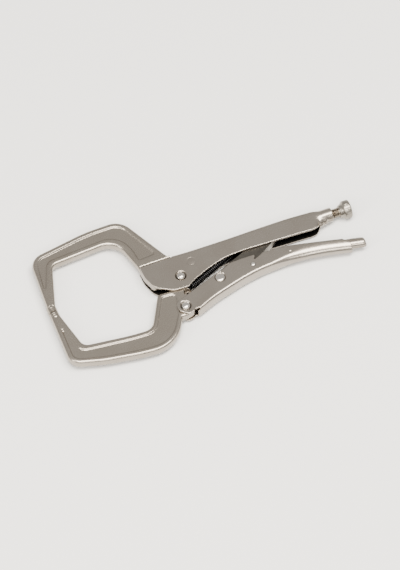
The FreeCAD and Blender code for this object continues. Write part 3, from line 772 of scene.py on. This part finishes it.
def make_rivet(name, centre, body, node, rise, head=3.75, shade_and_oil_ring=0.7, shank=3.5, floor=5.2):
    """Domed rivet with a dark ring round each head, painted shade of the dish floor with some oil,
    alike on both sides.
    """
    half = [(shank, 0), (shank, floor), (head + shade_and_oil_ring, floor), (head + shade_and_oil_ring, floor + 0.04),
            (head, floor + 0.06), (head, floor + 0.15)]
    for k in range(1, 9):
        turn = math.pi / 2 * k / 8
        half.append((head * math.cos(turn), floor + 0.15 + (rise - 0.15) * math.sin(turn)))
    half[-1] = (0, floor + rise)
    profile = [(r, -z) for r, z in half[::-1]] + half[1:]
    points, faces = lathe(profile, 48, centre=(centre[0], centre[1], 0))
    piece = make_piece(name, points, faces, BRIGHT, body, (node,))
    piece.data.materials.append(PAINTED_SHADE_AND_OIL)
    middle = ORIGIN[:2] + np.array(centre) * MM
    # Faces beyond the head, on the dish floor, get the painted shade.
    for polygon in piece.data.polygons:
        away = math.hypot(polygon.center.x - middle[0], polygon.center.y - middle[1])
        polygon.material_index = int(away > (head + 0.05) * MM)


def make_screw():
    """Threaded shank, neck and knurled knob in one piece, turned about X."""
    sides = 96
    rows = []
    turn = np.arange(sides) * 2 * math.pi / sides

    def row(x, radius):
        """One turn of points, at a radius or a radius per point."""
        rows.append((x, np.broadcast_to(radius, sides)))

    row(104.2, 0.01)
    row(104.2, 2.2)
    row(104.5, 2.7)
    row(105.6, 3.7)
    pitch = 1.5
    for x in np.arange(106.0, THREAD_END, 0.15):
        wave = (x / pitch + turn / (2 * math.pi)) % 1.0
        fade = min(1.0, (x - 106.0) / 2, (THREAD_END - x) / 0.8)
        row(x, 4.3 - 0.75 * fade * np.abs(2 * wave - 1))
    for x, radius in ((152.1, 4.3), (152.15, 5.0), (152.5, 5.4), (153.4, 5.55), (154.4, 6.1),
                      (155.4, 7.0), (155.9, 7.6)):
        row(x, radius)
    ridges = np.abs(np.sin(turn * 30))
    for x, radius, share in ((156.2, 7.9, 0.4), (156.7, 8.1, 1), (159, 8.1, 1), (161.3, 8.1, 1),
                             (161.8, 7.9, 0.4)):
        row(x, radius - 0.32 * share * (1 - ridges))
    for x, radius in ((162.2, 7.4), (162.5, 6.7), (162.6, 6.0), (162.45, 5.6), (162.4, 0.01)):
        row(x, radius)
    points = np.concatenate([np.stack((np.full(sides, x), SCREW_Y + r * np.cos(turn),
                                       r * np.sin(turn)), axis=1) for x, r in rows])
    faces = []
    for i in range(len(rows) - 1):
        for k in range(sides):
            n = (k + 1) % sides
            a, b = i * sides, (i + 1) * sides
            faces.append((a + k, a + n, b + n, b + k))
    faces.append(tuple(range(sides))[::-1])
    faces.append(tuple(range(len(points) - sides, len(points))))
    piece = make_piece("adjusting_screw_turned", points, faces, SCREW_METAL, "screw",
                       ("adjusting_screw",), sharp=50)
    piece.data.materials.append(KNOB_METAL)
    for polygon in piece.data.polygons:
        if polygon.center.x > (THREAD_END + 0.05) * MM + ORIGIN[0]:
            polygon.material_index = 1


def make_spring():
    """Coiled wire with a hook at each end, from the jaw's hook hole to the spring tab; the real
    spring stretches when the jaw opens.
    """
    start = np.array((6.4, -10.5, 0.0))
    slope = math.radians(24.8)
    ahead = np.array((math.cos(slope), math.sin(slope), 0))
    across = np.array((-math.sin(slope), math.cos(slope), 0))
    coil, pitch, turns = 2.6, 1.75, 30
    path = []
    for k in range(turns * 18 + 1):
        angle = 2 * math.pi * k / 18
        path.append(start + ahead * pitch * k / 18 + coil * (
            across * math.cos(angle) + np.array((0, 0, 1)) * math.sin(angle)))

    def hook(near, hole, rise):
        """From the coil's end, over the hole at some height, and down through it."""
        hole = np.array((*hole, 0.0))
        up = np.array((0, 0, rise))
        return [near + up * 0.6, near * 0.8 + hole * 0.2 + up, near * 0.4 + hole * 0.6 + up,
                near * 0.1 + hole * 0.9 + up, hole + up * 0.7, hole, hole - up * 0.8]

    front = hook(path[0], HOOK_HOLE, -2.2)[::-1]
    rear = hook(path[-1], SPRING_TAB, 1.6)
    path = np.array(front + path + rear)
    points, faces = tube(path, 0.5, 10)
    spring = make_piece("main_spring_wire", points, faces, WIRE, None,
                        ("main_spring",), sharp=60)
    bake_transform(spring)


def make_braze():
    """Bright bead where the jaw's root leaves the handle's walls."""
    xs = np.linspace(-29.4, -1.2, 90)
    for side, name in ((1, "near"), (-1, "far")):
        wave = 0.10 * np.sin(xs * 1.9) + 0.06 * np.sin(xs * 4.7 + side)
        path = np.stack((xs, 20.7 + (xs + 30) * 0.8 / 29.7 + 1.7 + 0.5 * wave,
                         np.full(len(xs), side * 4.3)), axis=1)
        points, faces = tube(path, 0.9, 12)
        make_piece("braze_bead_" + name, points, faces, BRAZE, "fixed_half")


def make_weld():
    """Welded lips of the seam under the round end."""
    lumps = []
    for x, y, long, tall in ((133.6, 10.6, 2.6, 2.1), (137.6, 10.9, 2.4, 1.7)):
        turns = np.linspace(0, math.pi, 11)[1:-1]
        profile = [(0, -long)] + [(tall * math.sin(t), -long * math.cos(t)) for t in turns]
        lumps.append(lathe(profile + [(0, long)], 24, "X", (x, y, 0)))
    points, faces = joined(*lumps)
    make_piece("seam_weld", points, faces, SHEET_METAL, "fixed_half")


def dress_cad(node, material, web_material=None):
    """A CAD piece shown as it is, with its own material and one for its lower web."""
    piece = frame["nodes"][node]
    piece.data.materials.clear()
    piece.data.materials.append(material)
    if web_material:
        piece.data.materials.append(web_material)
        for polygon in piece.data.polygons:
            # Faces looking towards -Y take the second material; on the toggle link that is the
            # lighter, lit colour and the rest carries painted shade.
            polygon.material_index = int(polygon.normal.y < -0.5)


make_upper_jaw()
make_lower_jaw()
make_upper_handle()
make_lower_handle()
make_release_lever()
make_rivet("jaw_rivet_domed", JAW_PIVOT, "fixed_half", "jaw_pivot_rivet", 2.3)
make_rivet("handle_rivet_domed", HANDLE_PIVOT, "moving_handle", "handle_pivot_rivet", 2.3)
make_rivet("link_rivet_domed", LINK_PIVOT, "moving_handle", "link_pivot_rivet", 1.3,
           head=4.2, shade_and_oil_ring=0.25)
make_rivet("lever_pin_domed", LEVER_PIVOT, "moving_handle", "lever_pivot_pin", 1.1,
           head=2.1, shade_and_oil_ring=0.25, shank=1.6, floor=6.2)
make_screw()
make_spring()
make_braze()
make_weld()
# The toggle link is painted near-black as painted shade where it sits between the handles; only its
# -Y web keeps the lighter colour.
dress_cad("toggle_link", LINK_PAINTED_SHADE, INNER_METAL)
dress_cad("jaw_fixing_pin", SHEET_METAL)


# ------------------------------------------------------------------ studio

# The view's direction in degrees, its height, and its middle seen from the jaw rivet.
VIEW_AZIMUTH = -21.2
VIEW_ELEVATION = 55.1
VIEW_TALL = 489.63
VIEW_RIGHT = 16.4928
VIEW_UP = -8.2464


def make_floor():
    """Pale matt floor."""
    mesh = bpy.data.meshes.new("floor")
    reach = 3.0
    mesh.from_pydata([(-reach, -reach, 0), (reach, -reach, 0), (reach, reach, 0),
                      (-reach, reach, 0)], [], [(0, 1, 2, 3)])
    floor = bpy.data.objects.new("floor", mesh)
    bpy.context.scene.collection.objects.link(floor)
    material = bpy.data.materials.new("pale_floor")
    material.use_nodes = True
    tree = material.node_tree
    shader = tree.nodes["Principled BSDF"]
    shader.inputs["Roughness"].default_value = 0.9
    shader.inputs["Specular IOR Level"].default_value = 0.1
    noise = tree.nodes.new("ShaderNodeTexNoise")
    noise.inputs["Scale"].default_value = 6.0
    tones = tree.nodes.new("ShaderNodeValToRGB")
    tones.color_ramp.elements[0].color = (0.90, 0.90, 0.90, 1)
    tones.color_ramp.elements[1].color = (0.93, 0.93, 0.93, 1)
    tree.links.new(noise.outputs["Fac"], tones.inputs["Fac"])
    tree.links.new(tones.outputs["Color"], shader.inputs["Base Color"])
    mesh.materials.append(material)


def area_light(name, place, target, size_x, size_y, power):
    """Warm soft box aimed at a point."""
    data = bpy.data.lights.new(name, "AREA")
    data.shape = "RECTANGLE"
    data.size = size_x
    data.size_y = size_y
    data.energy = power
    data.color = (1.0, 0.95, 0.86)
    light = bpy.data.objects.new(name, data)
    light.location = place
    way = Vector(target) - Vector(place)
    light.rotation_euler = way.to_track_quat("-Z", "Y").to_euler()
    bpy.context.scene.collection.objects.link(light)


def make_camera():
    """Parallel view from the front and above, with the tool lying across the picture."""
    azimuth, elevation = math.radians(VIEW_AZIMUTH), math.radians(VIEW_ELEVATION)
    back = Vector((math.sin(azimuth) * math.cos(elevation),
                   -math.cos(azimuth) * math.cos(elevation), math.sin(elevation)))
    right = Vector((math.cos(azimuth), math.sin(azimuth), 0))
    up = back.cross(right)
    pivot = Vector(ORIGIN) + Vector((0, 0, HALF_WIDTH * MM))
    centre = pivot + right * VIEW_RIGHT * MM + up * VIEW_UP * MM
    data = bpy.data.cameras.new("camera")
    data.type = "ORTHO"
    data.ortho_scale = VIEW_TALL * MM
    data.clip_start = 0.1
    data.clip_end = 20
    camera = bpy.data.objects.new("camera", data)
    camera.location = centre + back * 2.0
    camera.rotation_mode = "QUATERNION"
    camera.rotation_quaternion = back.to_track_quat("Z", "Y")
    bpy.context.scene.collection.objects.link(camera)
    bpy.context.scene.camera = camera


def make_world():
    """Even, slightly warm light from all round."""
    world = bpy.data.worlds.new("studio")
    world.use_nodes = True
    background = world.node_tree.nodes["Background"]
    background.inputs["Color"].default_value = (1.0, 0.975, 0.935, 1)
    background.inputs["Strength"].default_value = 0.9
    bpy.context.scene.world = world


make_floor()
make_world()
area_light("overhead_strip", (0.1, -0.35, 2.2), (0.05, 0, 0), 2.2, 0.8, 125)
area_light("front_box", (-0.3, -1.6, 1.6), (0, 0, 0), 1.8, 0.4, 30)
area_light("left_box", (-2.0, -0.6, 1.2), (0, 0, 0), 0.6, 1.2, 28)
make_camera()
